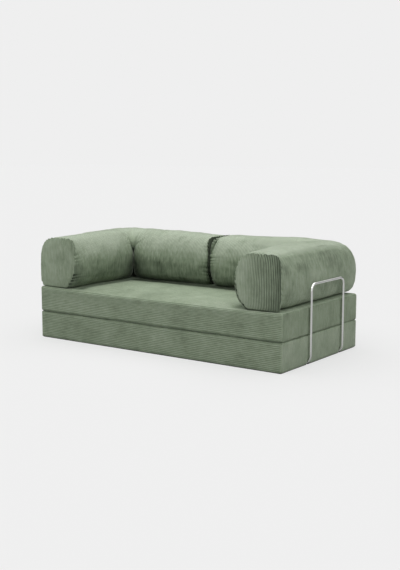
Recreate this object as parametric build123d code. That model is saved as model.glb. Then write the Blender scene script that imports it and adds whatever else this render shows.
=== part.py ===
from build123d import *
from math import sqrt
import os

# Foam sofa bed in corduroy. All sizes in millimetres.
# +X is the sitter's left-hand side as seen from the front, -Y is the front, +Z is up.
# The origin is on the floor, under the middle of the lower mattress.

# Two equal mattresses, stacked and joined along their front edge
sofa_width = 2000.0
sofa_depth = 990.0
mattress_height = 190.0
layer_gap = 0.5
plan_round = 10.0

# Two L-shaped bolsters that make the arms and the back
bolster_height = 352.0
arm_width = 345.0
back_depth = 360.0
bolster_side_margin = 2.0
bolster_rear_margin = 5.0
bolster_front_margin = 3.0
middle_gap = 8.0
corner_round = 50.0
bolster_end_round = 14.0
crease_round = 8.0

# Cloth and foam
cover_thickness = 3.0
fit_gap = 0.3
side_panel_rim = 14.0
end_panel_rim = 12.0

# Fold hinge along the front seam, and the carrying axes of the bolsters
hinge_forward = 1.0
hinge_end_margin = 20.0
pivot_clear = 16.0

# Bent steel tubes that hold the stack together at each end
tube_diameter = 18.0
tube_wall = 1.5
tube_side_gap = 7.0
tube_rear_leg_from_rear = 240.0
tube_leg_spacing = 426.0
tube_top_height = 517.0
tube_top_bend = 45.0
tube_foot_bend = 50.0
tube_foot_length = 300.0
channel_gap = 0.5
cap_flange = 3.0
cap_spigot = 12.0
cap_fit_gap = 0.1

# Zips at the rear of each cover
zip_tape_width = 24.0
zip_tape_depth = 2.0
zip_tape_proud = 0.4
zip_teeth_width = 6.0
zip_teeth_height = 2.4
zip_end_margin = 60.0
zip_stop_length = 5.0
zip_stop_extra = 1.2
slider_length = 16.0
slider_wall = 2.4
slider_roof = 2.0
lug_length = 5.0
lug_width = 1.8
pin_diameter = 1.8
pin_rise = 2.6
knuckle_diameter = 4.2
knuckle_width = 4.0
knuckle_gap = 0.15
pull_length = 26.0
pull_thickness = 1.6
pull_slot_length = 10.0
pull_slot_width = 2.2

# How far each side of a mattress is drawn in, going up it, as shares of its height:
# (height, front, rear, ends)
lower_side_shares = [
    (0.00, 0.021, 0.032, 0.032),
    (0.04, 0.010, 0.012, 0.012),
    (0.12, 0.003, 0.004, 0.004),
    (0.50, 0.000, 0.000, 0.000),
    (0.88, 0.003, 0.004, 0.004),
    (0.96, 0.005, 0.016, 0.016),
    (1.00, 0.007, 0.050, 0.050),
]
upper_side_shares = [
    (0.000, 0.007, 0.050, 0.050),
    (0.040, 0.005, 0.016, 0.016),
    (0.120, 0.003, 0.004, 0.004),
    (0.480, 0.000, 0.000, 0.000),
    (0.840, 0.005, 0.004, 0.004),
    (0.900, 0.020, 0.014, 0.014),
    (0.940, 0.050, 0.034, 0.034),
]
# The seat's crown carries on from the last row above, the same way
seat_crown_shares = [
    (0.940, 0.050, 0.034, 0.034),
    (0.965, 0.120, 0.090, 0.090),
    (0.985, 0.300, 0.250, 0.250),
    (1.000, 0.700, 0.650, 0.650),
]
# How far each side of a bolster is drawn in, going up it, as shares of the arm's width:
# (height, outer side, inner side, ends)
bolster_side_shares = [
    (0.00, 0.045, 0.150, 0.060),
    (0.06, 0.017, 0.085, 0.023),
    (0.20, 0.000, 0.030, 0.006),
    (0.50, 0.000, 0.000, 0.000),
    (0.70, 0.023, 0.030, 0.012),
    (0.84, 0.087, 0.100, 0.035),
    (0.94, 0.215, 0.225, 0.110),
    (1.00, 0.375, 0.375, 0.260),
]
bolster_zip_height_share = 0.20
cutter_overrun = 5.0

# Places that follow from the sizes
front_y = -sofa_depth / 2
rear_y = sofa_depth / 2
end_x = sofa_width / 2
lower_top = mattress_height - layer_gap / 2
upper_bottom = mattress_height + layer_gap / 2
upper_top = 2 * mattress_height
bolster_bottom = upper_top + layer_gap
bolster_outer_x = end_x - bolster_side_margin
bolster_inner_x = bolster_outer_x - arm_width
bolster_rear_y = rear_y - bolster_rear_margin
bolster_back_front_y = bolster_rear_y - back_depth
bolster_front_y = front_y + bolster_front_margin
bolster_middle_x = middle_gap / 2
hinge_y = front_y - hinge_forward
pivot_y = rear_y + pivot_clear
pivot_z = upper_top + layer_gap / 2
tube_x = end_x + tube_side_gap + tube_diameter / 2
tube_rear_y = rear_y - tube_rear_leg_from_rear
tube_front_y = tube_rear_y - tube_leg_spacing
tube_foot_end_x = tube_x - tube_foot_bend - tube_foot_length


def write(name, shape):
    """Name one piece and save it as its own file."""
    shape.label = name
    export_step(shape, f"parts/{name}.step")


def box_between(low, high):
    """A box from its low corner to its high corner."""
    size = [b - a for a, b in zip(low, high)]
    middle = [(a + b) / 2 for a, b in zip(low, high)]
    return Pos(*middle) * Box(*size)


def rod(start, end, diameter):
    """A round bar between two points."""
    line = Line(start, end)
    return extrude(Plane(origin=line @ 0, z_dir=line % 0) * Circle(diameter / 2), line.length)


def mirrored(shape):
    """The same piece for the other end of the sofa."""
    return mirror(shape, about=Plane.YZ)


def closed_outline(points, radii, height):
    """A flat face inside straight lines joined by arcs, at one height."""
    line = FilletPolyline(*points, radius=radii, close=True)
    return Pos(0, 0, height) * make_face(line.edges())


def mattress_sections(bottom, top, shares, wall):
    """Outlines of a foam mattress at each height, drawn in by the cloth thickness given."""
    height = top - bottom
    sections = []
    for rise, front, rear, end in shares:
        x = end_x - wall - end * mattress_height
        y_low = front_y + wall + front * mattress_height
        y_high = rear_y - wall - rear * mattress_height
        points = [(-x, y_low), (x, y_low), (x, y_high), (-x, y_high)]
        level = bottom + wall + rise * (height - 2 * wall)
        sections.append(closed_outline(points, [plan_round] * 4, level))
    return sections


def lower_form(wall):
    """The lower mattress, or the same form one cloth thickness inside it."""
    return loft(mattress_sections(0, lower_top, lower_side_shares, wall))


def upper_form(wall):
    """The upper mattress with the seat's crown, or the same form inside its cloth."""
    body = loft(mattress_sections(upper_bottom, upper_top, upper_side_shares, wall))
    crown = mattress_sections(upper_bottom, upper_top, seat_crown_shares, wall)
    return body + loft(crown, ruled=True)


def bolster_form(wall):
    """The right-hand L-shaped bolster, or the same form one cloth thickness inside it."""
    height = bolster_height - 2 * wall
    sections = []
    for rise, outer, inner, end in bolster_side_shares:
        x_out = bolster_outer_x - wall - outer * arm_width
        x_in = bolster_inner_x + wall + inner * arm_width
        y_rear = bolster_rear_y - wall - outer * arm_width
        y_back = bolster_back_front_y + wall + inner * arm_width
        y_front = bolster_front_y + wall + end * arm_width
        x_mid = bolster_middle_x + wall + end * arm_width
        corner = max(corner_round - outer * arm_width / 2, bolster_end_round)
        points = [
            (x_in, y_front),
            (x_out, y_front),
            (x_out, y_rear),
            (x_mid, y_rear),
            (x_mid, y_back),
            (x_in, y_back),
        ]
        radii = [bolster_end_round, bolster_end_round, corner]
        radii += [bolster_end_round, bolster_end_round, crease_round]
        sections.append(closed_outline(points, radii, bolster_bottom + wall + rise * height))
    return loft(sections)


def end_region(inside_x):
    """Everything of a mattress beyond a plane near its right-hand end."""
    low = (inside_x, front_y - cutter_overrun, -cutter_overrun)
    high = (end_x + cutter_overrun, rear_y + cutter_overrun, upper_top + cutter_overrun)
    return box_between(low, high)


def foot_channel(leg_y):
    """The pressed channel under the lower mattress that a tube's foot slides in."""
    middle = tube_diameter / 2
    radius = middle + channel_gap
    slot_half = middle + channel_gap / 2
    mouth_half = radius + channel_gap
    inner_x = tube_foot_end_x - cap_flange - channel_gap
    bend_x = tube_x - tube_foot_bend
    outer_x = tube_x + tube_diameter
    inside_bend = tube_foot_bend - middle
    fall = sqrt(max(inside_bend**2 - (end_x - bend_x) ** 2, 0))
    mouth_top = middle + tube_foot_bend - fall + channel_gap
    channel = rod((inner_x, leg_y, middle), (outer_x, leg_y, middle), 2 * radius)
    low = (inner_x, leg_y - slot_half, -cutter_overrun)
    channel += box_between(low, (outer_x, leg_y + slot_half, middle))
    low = (bend_x, leg_y - mouth_half, -cutter_overrun)
    channel += box_between(low, (outer_x, leg_y + mouth_half, mouth_top))
    return channel


def foot_channels():
    """Cutters for all four channels."""
    right = [foot_channel(tube_front_y), foot_channel(tube_rear_y)]
    return right + [mirrored(channel) for channel in right]


def zip_recess(x_low, x_high, surface_y, height):
    """The shallow seat in a cover that a zip's tape is sewn into."""
    half = zip_tape_width / 2 + fit_gap
    low = (x_low - fit_gap, surface_y - zip_tape_depth - fit_gap, height - half)
    return box_between(low, (x_high + fit_gap, surface_y + cutter_overrun, height + half))


def zip_tape(x_low, x_high, surface_y, height):
    """The woven tape of a zip."""
    half = zip_tape_width / 2
    low = (x_low, surface_y - zip_tape_depth, height - half)
    return box_between(low, (x_high, surface_y + zip_tape_proud, height + half))


def zip_teeth(x_low, x_high, surface_y, height):
    """The closed row of teeth on the tape, with a stop at each end."""
    base = surface_y + zip_tape_proud
    half = zip_teeth_width / 2
    row = box_between((x_low, base, height - half), (x_high, base + zip_teeth_height, height + half))
    wide = half + zip_stop_extra
    for start in (x_low, x_high - zip_stop_length):
        low = (start, base, height - wide)
        row += box_between(low, (start + zip_stop_length, base + zip_teeth_height, height + wide))
    return row


def zip_pin_y(surface_y):
    """How far back the pull's pin lies."""
    return surface_y + zip_tape_proud + zip_teeth_height + fit_gap + slider_roof + pin_rise


def zip_slider(slider_x, surface_y, height):
    """The slider: a saddle over the teeth, two lugs and the pull's pin."""
    base = surface_y + zip_tape_proud + fit_gap
    groove_half = zip_teeth_width / 2 + fit_gap
    body_half = groove_half + slider_wall
    groove_top = surface_y + zip_tape_proud + zip_teeth_height + fit_gap
    half_length = slider_length / 2
    low = (slider_x - half_length, base, height - body_half)
    roof = groove_top + slider_roof
    body = box_between(low, (slider_x + half_length, roof, height + body_half))
    body -= box_between(
        (slider_x - slider_length, base - cutter_overrun, height - groove_half),
        (slider_x + slider_length, groove_top, height + groove_half),
    )
    pin_y = zip_pin_y(surface_y)
    lug_start = knuckle_width / 2 + knuckle_gap
    for side in (-1, 1):
        z_ends = sorted((height + side * lug_start, height + side * (lug_start + lug_width)))
        low = (slider_x - lug_length / 2, roof - slider_roof / 2, z_ends[0])
        body += box_between(low, (slider_x + lug_length / 2, pin_y + pin_diameter, z_ends[1]))
    pin_half = lug_start + lug_width / 2
    pin_ends = (slider_x, pin_y, height - pin_half), (slider_x, pin_y, height + pin_half)
    return body + rod(*pin_ends, pin_diameter)


def zip_pull(slider_x, surface_y, height):
    """The pull tab, lying flat, with a knuckle that turns on the slider's pin."""
    pin_y = zip_pin_y(surface_y)
    half = knuckle_width / 2
    ends = (slider_x, pin_y, height - half), (slider_x, pin_y, height + half)
    tab_low = (slider_x, pin_y - pull_thickness / 2, height - half)
    tab = box_between(tab_low, (slider_x + pull_length, pin_y + pull_thickness / 2, height + half))
    slot_end = slider_x + pull_length - half / 2
    slot_low = (slot_end - pull_slot_length, pin_y - pull_thickness, height - pull_slot_width / 2)
    tab -= box_between(slot_low, (slot_end, pin_y + pull_thickness, height + pull_slot_width / 2))
    bore_low = (slider_x, pin_y, height - knuckle_width)
    bore_high = (slider_x, pin_y, height + knuckle_width)
    return tab + rod(*ends, knuckle_diameter) - rod(bore_low, bore_high, pin_diameter + 2 * knuckle_gap)


def write_zip(owner, x_low, x_high, surface_y, height, turn):
    """Save a zip's four pieces. The slider rests at the zip's outer end."""
    slider_x = x_high - zip_stop_length - slider_length / 2 - fit_gap
    write(f"{owner}_zip_tape", turn(zip_tape(x_low, x_high, surface_y, height)))
    write(f"{owner}_zip_teeth", turn(zip_teeth(x_low, x_high, surface_y, height)))
    write(f"{owner}_zip_slider", turn(zip_slider(slider_x, surface_y, height)))
    write(f"{owner}_zip_pull", turn(zip_pull(slider_x, surface_y, height)))


def as_made(shape):
    """Leave a piece where it was made."""
    return shape


def write_mattress(owner, form, zip_z, has_base):
    """Save one mattress: its foam, its cover's panels and its zip."""
    foam = form(cover_thickness)
    shell = form(0) - foam
    if has_base:
        for channel in foot_channels():
            foam = foam - channel
            shell = shell - channel
        low = (-sofa_width, -sofa_depth, -cutter_overrun)
        floor_region = box_between(low, (sofa_width, sofa_depth, cover_thickness))
        write(f"{owner}_base_cloth", shell & floor_region)
        shell = shell - floor_region
    zip_x = end_x - zip_end_margin
    shell = shell - zip_recess(-zip_x, zip_x, rear_y, zip_z)
    right = end_region(end_x - side_panel_rim)
    write(f"{owner}_right_side_panel", shell & right)
    write(f"{owner}_left_side_panel", shell & mirrored(right))
    write(f"{owner}_cover", shell - right - mirrored(right))
    write(f"{owner}_foam", foam)
    write_zip(owner, -zip_x, zip_x, rear_y, zip_z, as_made)


def write_fold_seam():
    """Save the sewn cord along the front edge that both covers fold about."""
    inset = lower_side_shares[-1][1] * mattress_height
    radius = hinge_forward + inset - fit_gap
    x = end_x - hinge_end_margin
    cord = rod((-x, hinge_y, mattress_height), (x, hinge_y, mattress_height), 2 * radius)
    write("fold_seam", cord)


def beside_mitre():
    """Everything on the arm's side of the joint that runs from the inner crease to the outer corner."""
    x = bolster_inner_x
    y = bolster_back_front_y
    reach = sofa_width
    line = Polyline((x - reach, y - reach), (x + reach, y + reach), (x + reach, y - reach), close=True)
    face = Pos(0, 0, bolster_bottom) * make_face(line.edges())
    return extrude(face, bolster_height, dir=(0, 0, 1))


def write_bolster(owner, turn):
    """Save one L-shaped bolster: two foam blocks, its cover's panels and its zip."""
    foam = bolster_form(cover_thickness)
    shell = bolster_form(0) - foam
    zip_z = bolster_bottom + bolster_zip_height_share * bolster_height
    zip_x = (bolster_middle_x + zip_end_margin, bolster_outer_x - corner_round - zip_end_margin)
    shell = shell - zip_recess(*zip_x, bolster_rear_y, zip_z)
    top = bolster_bottom + bolster_height + cutter_overrun
    floor_low = (-cutter_overrun, -sofa_depth, bolster_bottom - cutter_overrun)
    floor_region = box_between(floor_low, (sofa_width, sofa_depth, bolster_bottom + cover_thickness))
    front_region = box_between(
        (bolster_inner_x - cutter_overrun, front_y - cutter_overrun, bolster_bottom),
        (end_x + cutter_overrun, bolster_front_y + end_panel_rim, top),
    )
    middle_region = box_between(
        (-cutter_overrun, bolster_back_front_y - cutter_overrun, bolster_bottom),
        (bolster_middle_x + end_panel_rim, rear_y + cutter_overrun, top),
    )
    write(f"{owner}_bolster_base_panel", turn(shell & floor_region))
    shell = shell - floor_region
    write(f"{owner}_bolster_front_panel", turn(shell & front_region))
    write(f"{owner}_bolster_middle_panel", turn(shell & middle_region))
    write(f"{owner}_bolster_cover", turn(shell - front_region - middle_region))
    arm_side = beside_mitre()
    write(f"{owner}_arm_foam", turn(foam & arm_side))
    write(f"{owner}_back_foam", turn(foam - arm_side))
    write_zip(f"{owner}_bolster", *zip_x, bolster_rear_y, zip_z, turn)


def bracket_tube():
    """The right-hand bent tube: two feet, two legs and a top bar in one piece."""
    middle = tube_diameter / 2
    top = tube_top_height - middle
    points = [
        (tube_foot_end_x, tube_front_y, middle),
        (tube_x, tube_front_y, middle),
        (tube_x, tube_front_y, top),
        (tube_x, tube_rear_y, top),
        (tube_x, tube_rear_y, middle),
        (tube_foot_end_x, tube_rear_y, middle),
    ]
    bends = [tube_foot_bend, tube_top_bend, tube_top_bend, tube_foot_bend]
    path = FilletPolyline(*points, radius=bends)
    ring = Circle(middle) - Circle(middle - tube_wall)
    return sweep(Plane(origin=path @ 0, z_dir=path % 0) * ring, path=path)


def tube_cap(leg_y):
    """A plug in the end of a tube's foot."""
    middle = tube_diameter / 2
    bore = tube_diameter - 2 * tube_wall - 2 * cap_fit_gap
    rim = (tube_foot_end_x - cap_flange, leg_y, middle), (tube_foot_end_x, leg_y, middle)
    spigot = rim[1], (tube_foot_end_x + cap_spigot, leg_y, middle)
    return rod(*rim, tube_diameter) + rod(*spigot, bore)


def write_bracket(owner, turn):
    """Save one bent tube and its two end plugs."""
    write(f"{owner}_bracket_tube", turn(bracket_tube()))
    write(f"{owner}_bracket_front_cap", turn(tube_cap(tube_front_y)))
    write(f"{owner}_bracket_rear_cap", turn(tube_cap(tube_rear_y)))


os.makedirs("parts", exist_ok=True)
write_mattress("lower_mattress", lower_form, lower_top / 2, True)
write_mattress("upper_mattress", upper_form, (upper_bottom + upper_top) / 2, False)
write_fold_seam()
for side_name, placing in (("right", as_made), ("left", mirrored)):
    write_bolster(side_name, placing)
    write_bracket(side_name, placing)
print("fold hinge at", (0, hinge_y, mattress_height))
print("bolster carrying axis at", (0, pivot_y, pivot_z))
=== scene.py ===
import bpy
import numpy as np
from types import SimpleNamespace
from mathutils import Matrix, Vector


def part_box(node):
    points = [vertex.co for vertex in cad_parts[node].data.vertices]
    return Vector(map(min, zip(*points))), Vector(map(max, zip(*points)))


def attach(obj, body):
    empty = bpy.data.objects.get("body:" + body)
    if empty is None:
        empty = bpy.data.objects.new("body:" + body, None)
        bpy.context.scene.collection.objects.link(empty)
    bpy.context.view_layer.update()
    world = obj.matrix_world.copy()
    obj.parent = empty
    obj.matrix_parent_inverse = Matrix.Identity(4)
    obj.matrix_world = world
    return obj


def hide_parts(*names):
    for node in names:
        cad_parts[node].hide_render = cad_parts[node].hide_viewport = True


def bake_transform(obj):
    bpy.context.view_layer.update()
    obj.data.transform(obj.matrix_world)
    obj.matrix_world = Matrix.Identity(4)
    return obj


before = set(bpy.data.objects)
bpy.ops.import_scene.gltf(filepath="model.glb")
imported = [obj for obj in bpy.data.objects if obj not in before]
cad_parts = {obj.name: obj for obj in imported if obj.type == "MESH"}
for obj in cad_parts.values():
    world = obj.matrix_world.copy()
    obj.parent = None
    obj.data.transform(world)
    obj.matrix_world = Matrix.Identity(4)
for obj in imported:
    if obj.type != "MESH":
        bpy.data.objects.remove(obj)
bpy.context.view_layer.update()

# Lower mattress cover
# One long panel of wide-wale corduroy wraps the foam block, over the top and down the front and
# the rear, with its wales along the sofa. It is sewn to an end panel at each end.
wale_pitch = 0.0115
wale_height = 0.0015
samples_per_wale = 6
loop_samples = 400
wrap_edge = 0.007
wrap_edge_draw = 0.0038
flat_edge = 0.010
seam_inset = 0.0015
# Rows of the mesh lie at these distances from a sewn end, and at even steps between the two ends
end_steps = np.array([0.0, 0.001, 0.0025, 0.0045, 0.007, 0.010, 0.015, 0.024, 0.04, 0.06, 0.085])
middle_start = 0.115
middle_rows = 57
crown_reach = 0.13
sag_reach = 0.20
cover_wave = 0.45
cover_wave_height = 0.0016
zip_seat_half = 0.0135
zip_seat_slope = 0.002
zip_seat_sink = 0.0008
rear_face_from = 0.010
rear_face_to = 0.004
channel_slope = 0.014
channel_lead = 0.006
channel_gap = 0.001
crevice_reach = 0.007
foot_reach = 0.010
# Painted light and shade on the covers: a plain tone, and painted shade in the crevice and at the foot
plain_tone = 0.52
crevice_shade = 0.45
foot_shade = 0.30
# The pile's tones for painted light and shade, from the deepest painted shade to the brightest
# painted light, and the groove between two ridges
fabric_deep = (0.034, 0.046, 0.029)
fabric_low = (0.130, 0.167, 0.112)
fabric_ridge = (0.386, 0.470, 0.332)
fabric_painted_lit = (0.640, 0.730, 0.572)
# The groove is darker partly for its bare weave and partly with painted shade in it
fabric_groove = (0.148, 0.190, 0.122)


def wale(distance):
    """Height of the pile: a rounded ridge, one minus the 2.5th power of the way from its middle."""
    return wale_height * (1 - np.abs(2 * (distance / wale_pitch % 1) - 1) ** 2.5)


def smooth_step(low, high, value):
    """Nought below low and one above high, with the cubic 3tt - 2ttt between."""
    t = np.clip((value - low) / (high - low), 0, 1)
    return t * t * (3 - 2 * t)


def bell(distance, reach):
    """A bell curve of the distance: one at nought, and a 2.7th of that at the reach."""
    return np.exp(-(distance / reach) ** 2)


def fade(distance, reach):
    """One at nought, and a 2.7th as much for each reach further on."""
    return np.exp(-distance / reach)


def unevenness(points, size, amount, seed):
    """Slow waves in the cloth: the sum of eight sines in random directions, of about one size."""
    rng = np.random.default_rng(seed)
    waves = rng.normal(size=(8, 3)) * (2 * np.pi / size) * 0.6
    starts = rng.uniform(0, 2 * np.pi, 8)
    return amount * 0.35 * np.sin(points @ waves.T + starts).sum(-1)


def resample(points, count):
    """A closed outline again, at equal steps of its length."""
    closed = np.vstack([points, points[:1]])
    steps = np.hypot(*np.diff(closed, axis=0).T)
    along = np.concatenate([[0], np.cumsum(steps)])
    at = np.linspace(0, along[-1], count, endpoint=False)
    return np.column_stack([np.interp(at, along, closed[:, i]) for i in (0, 1)]), at


def rounded_loop(y_low, y_high, z_low, z_high, radii):
    """A rectangle with a quarter circle at each corner, from the front's foot up and over."""
    corners = [
        (y_low, z_high, 1, -1, 180, 90),
        (y_high, z_high, -1, -1, 90, 0),
        (y_high, z_low, -1, 1, 0, -90),
        (y_low, z_low, 1, 1, 270, 180),
    ]
    parts = []
    for (y, z, side, rise, start, stop), radius in zip(corners, radii):
        turn = np.radians(np.linspace(start, stop, 17))
        centre = np.array([y + side * radius, z + rise * radius])
        parts.append(centre + radius * np.column_stack([np.cos(turn), np.sin(turn)]))
    return np.vstack(parts)


def outward(loop):
    """Unit vectors square to a clockwise closed outline, pointing out of it."""
    run = np.roll(loop, -1, axis=0) - np.roll(loop, 1, axis=0)
    run /= np.linalg.norm(run, axis=1)[:, None]
    return np.column_stack([-run[:, 1], run[:, 0]])


def in_scene(name, data):
    """A new object in the scene that carries the mesh, lamp or camera it is given."""
    made = bpy.data.objects.new(name, data)
    bpy.context.scene.collection.objects.link(made)
    return made


def mesh_from_grid(name, points, across, along, wrapped, flip=False, pile=1.0, painted_light=0.5):
    """A mesh on a grid of points. A wrapped grid closes on itself and gets a cap at each end.
    The uv layer keeps the place on the flat cloth, pile says how high the wales stand, and the last
    share gives the painted light and shade on the pile, from deep painted shade at nought to bright
    painted light at one."""
    rows, columns = points.shape[:2]
    index = np.arange(rows * columns).reshape(rows, columns)
    ahead = np.roll(index, -1, axis=1) if wrapped else index[:, 1:]
    here = index if wrapped else index[:, :-1]
    quads = np.stack([here[:-1], ahead[:-1], ahead[1:], here[1:]], -1).reshape(-1, 4)
    if flip:
        quads = quads[:, ::-1]
    loops = quads.ravel()
    starts = np.arange(len(quads)) * 4
    totals = np.full(len(quads), 4)
    if wrapped:
        ends = [index[0, ::-1], index[-1]] if not flip else [index[0], index[-1, ::-1]]
        starts = np.concatenate([starts, [len(loops), len(loops) + columns]])
        totals = np.concatenate([totals, [columns, columns]])
        loops = np.concatenate([loops, *ends])
    mesh = bpy.data.meshes.new(name)
    mesh.vertices.add(rows * columns)
    mesh.vertices.foreach_set("co", points.reshape(-1).astype(np.float32))
    mesh.loops.add(len(loops))
    mesh.loops.foreach_set("vertex_index", loops.astype(np.int32))
    mesh.polygons.add(len(starts))
    mesh.polygons.foreach_set("loop_start", starts.astype(np.int32))
    mesh.polygons.foreach_set("loop_total", totals.astype(np.int32))
    mesh.update(calc_edges=True)
    mesh.polygons.foreach_set("use_smooth", np.ones(len(starts), bool))
    uv = mesh.uv_layers.new(name="cloth")
    flat = np.stack([np.broadcast_to(along, (rows, columns)), np.broadcast_to(across, (rows, columns))], -1)
    values = flat.reshape(-1, 2)[loops]
    uv.data.foreach_set("uv", values.ravel().astype(np.float32))
    for word, share in (("pile", pile), ("painted_light", painted_light)):
        layer = mesh.attributes.new(word, "FLOAT", "POINT")
        layer.data.foreach_set("value", np.broadcast_to(share, (rows, columns)).astype(np.float32).ravel())
    return in_scene(name, mesh)


def node_at(tree, kind, place, values=None, feeds=None, **settings):
    """A shader node at a place in the tree. Settings are its properties, values fill its inputs,
    and feeds join its inputs to the outputs of nodes that were made before it."""
    made = tree.nodes.new("ShaderNode" + kind)
    made.location = place
    for key, value in settings.items():
        setattr(made, key, value)
    for key, value in (values or {}).items():
        made.inputs[key].default_value = value
    for key, output in (feeds or {}).items():
        tree.links.new(output, made.inputs[key])
    return made


def new_material(name):
    """A fresh material, with its node tree and its shader."""
    material = bpy.data.materials.new(name)
    material.use_nodes = True
    return material, material.node_tree, material.node_tree.nodes["Principled BSDF"]


def corduroy_material(name, relief, patch_reach, mark_reach, groove_colour, groove_start):
    """Cotton corduroy: light pile on the ridges, grooves darkened partly for their bare weave and partly
    with painted shade, streaks along the wales, soft patches and the marks of a hand. The wales come
    from the uv layer, as deep as relief says, wherever the pile attribute stands, and a groove begins
    at groove_start of a pitch from its ridge's middle. The painted light and shade carried on the mesh
    sets the tone. Patches and marks move it, and less where the painted shade is deep."""
    material, tree, shader = new_material(name)
    shader.inputs["Roughness"].default_value = 0.86
    shader.inputs["Specular IOR Level"].default_value = 0.20
    shader.inputs["Sheen Weight"].default_value = 0.55
    shader.inputs["Sheen Roughness"].default_value = 0.32
    shader.inputs["Sheen Tint"].default_value = (0.84, 0.92, 0.78, 1)
    cloth = node_at(tree, "UVMap", (-1500, 0), uv_map="cloth")
    split = node_at(tree, "SeparateXYZ", (-1320, 0), feeds={0: cloth.outputs[0]})
    count = node_at(tree, "Math", (-1140, 0), {1: wale_pitch}, {0: split.outputs[1]}, operation="DIVIDE")
    place = node_at(tree, "Math", (-960, 0), feeds={0: count.outputs[0]}, operation="FRACT")
    off = node_at(tree, "Math", (-780, 0), {1: 0.5}, {0: place.outputs[0]}, operation="SUBTRACT")
    away = node_at(tree, "Math", (-600, 0), feeds={0: off.outputs[0]}, operation="ABSOLUTE")
    valley = node_at(
        tree, "MapRange", (-420, 0), {"From Min": groove_start, "From Max": 0.50},
        {"Value": away.outputs[0]}, interpolation_type="SMOOTHSTEP")
    standing = node_at(tree, "Attribute", (-600, 200), attribute_name="pile")
    groove = node_at(
        tree, "Math", (-240, 100), feeds={0: valley.outputs[0], 1: standing.outputs["Fac"]},
        operation="MULTIPLY")
    stretch = node_at(
        tree, "Mapping", (-1140, -300), {"Scale": (26, 420, 1)}, {"Vector": cloth.outputs[0]})
    streak = node_at(
        tree, "TexNoise", (-960, -300), {"Scale": 1.0, "Detail": 3.0}, {"Vector": stretch.outputs[0]})
    stroke = node_at(
        tree, "Mapping", (-1140, -800), {"Scale": (15, 62, 1)}, {"Vector": cloth.outputs[0]})
    mark = node_at(
        tree, "TexNoise", (-960, -800), {"Scale": 1.0, "Detail": 4.0, "Roughness": 0.6},
        {"Vector": stroke.outputs[0]})
    spot = node_at(tree, "TexCoord", (-1320, -560))
    patch = node_at(
        tree, "TexNoise", (-960, -560), {"Scale": 6.0, "Detail": 5.0, "Roughness": 0.62},
        {"Vector": spot.outputs["Object"]})
    streak_range = node_at(
        tree, "MapRange", (-780, -300), {"From Min": 0.30, "From Max": 0.75},
        {"Value": streak.outputs["Fac"]})
    # Painted light and shade, carried on the mesh, picks the tone from the ramp
    light = node_at(tree, "Attribute", (-780, -1000), attribute_name="painted_light")
    room = node_at(
        tree, "MapRange", (-780, -1200), {"From Max": 0.40, "To Min": 0.10},
        {"Value": light.outputs["Fac"]})
    painted_light_and_wear = light.outputs["Fac"]
    for made, reach, row in ((patch, patch_reach, -560), (mark, mark_reach, -800)):
        part = node_at(
            tree, "MapRange", (-780, row),
            {"From Min": 0.30, "From Max": 0.70, "To Min": -reach, "To Max": reach},
            {"Value": made.outputs["Fac"]}, clamp=False)
        total = node_at(
            tree, "Math", (-600, row), feeds={0: part.outputs[0], 1: room.outputs[0], 2: painted_light_and_wear},
            operation="MULTIPLY_ADD")
        painted_light_and_wear = total.outputs[0]
    tones = node_at(tree, "ValToRGB", (-420, -420), feeds={"Fac": painted_light_and_wear})
    tones.color_ramp.elements[0].color = (*fabric_deep, 1)
    tones.color_ramp.elements[1].color = (*fabric_painted_lit, 1)
    tones.color_ramp.elements.new(0.10).color = (*fabric_low, 1)
    tones.color_ramp.elements.new(0.50).color = (*fabric_ridge, 1)
    painted_light = node_at(
        tree, "Mix", (-240, -420), {"Factor": 0.22},
        {"A": tones.outputs["Color"], "B": streak_range.outputs[0]},
        data_type="RGBA", blend_type="MULTIPLY")
    tone = node_at(
        tree, "Mix", (-60, 0), {"B": (*groove_colour, 1)},
        {"Factor": groove.outputs[0], "A": painted_light.outputs["Result"]}, data_type="RGBA")
    fuzz = node_at(
        tree, "Bump", (-240, -700), {"Strength": 0.45, "Distance": 0.0008},
        {"Height": streak.outputs["Fac"]})
    wales = node_at(
        tree, "Bump", (-60, -300), {"Strength": 1.0, "Distance": relief},
        {"Height": groove.outputs[0], "Normal": fuzz.outputs["Normal"]}, invert=True)
    tree.links.new(tone.outputs["Result"], shader.inputs["Base Color"])
    tree.links.new(wales.outputs["Normal"], shader.inputs["Normal"])
    return material


def middle_z(node):
    """Half way up a solid's box."""
    low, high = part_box(node)
    return (low.z + high.z) / 2


corduroy = corduroy_material("sage_corduroy", 0.0004, 0.15, 0.11, fabric_groove, 0.26)
slab_low, slab_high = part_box("lower_mattress_cover")
end_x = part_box("lower_mattress_right_side_panel")[1].x
front_y = slab_low.y
rear_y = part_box("lower_mattress_zip_tape")[1].y - 0.0004
base_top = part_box("lower_mattress_base_cloth")[1].z
tube_low, tube_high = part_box("right_bracket_tube")
tube_radius = 0.009
leg_ys = (tube_low.y + tube_radius, tube_high.y - tube_radius)
foot_end_x = tube_low.x


def wrap_stations():
    """Places along the sofa: close together at the sewn ends, and wide apart between them."""
    middle = np.linspace(-end_x + middle_start, end_x - middle_start, middle_rows)
    seam = end_x - seam_inset
    return np.concatenate([-seam + end_steps, middle, (seam - end_steps)[::-1]])


def channel(y, half):
    """One over a tube's foot and nought beside it, as a smooth bump across the channel."""
    return sum(1 - smooth_step(half, half + channel_slope, np.abs(y - leg)) for leg in leg_ys)


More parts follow.
